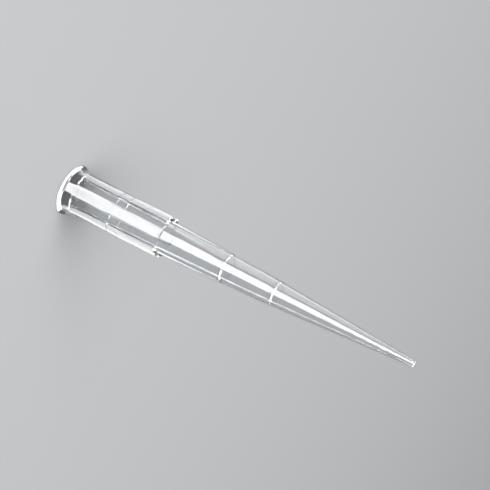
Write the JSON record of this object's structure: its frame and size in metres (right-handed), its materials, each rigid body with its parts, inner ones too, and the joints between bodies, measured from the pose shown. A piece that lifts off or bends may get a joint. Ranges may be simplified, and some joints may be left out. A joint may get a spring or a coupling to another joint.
{
  "type": "pipette tip",
  "caption": "Clear plastic tip for a small-volume laboratory pipette: a flared rim, a ribbed collar and a long taper to a fine orifice, with raised graduation rings.",
  "frame": {"origin": "centre of the rim's flat face, which the tip stands on", "axes": "+Z along the tip's axis, from the rim to the small end; +X through the middle of one rib"},
  "size_m": [0.0072, 0.0072, 0.053],
  "materials": {
    "clear_plastic": "clear moulded polypropylene, polished, faintly hazy"
  },
  "bodies": {
    "root": {"pipette_tip": "clear_plastic"}
  },
  "joints": []
}
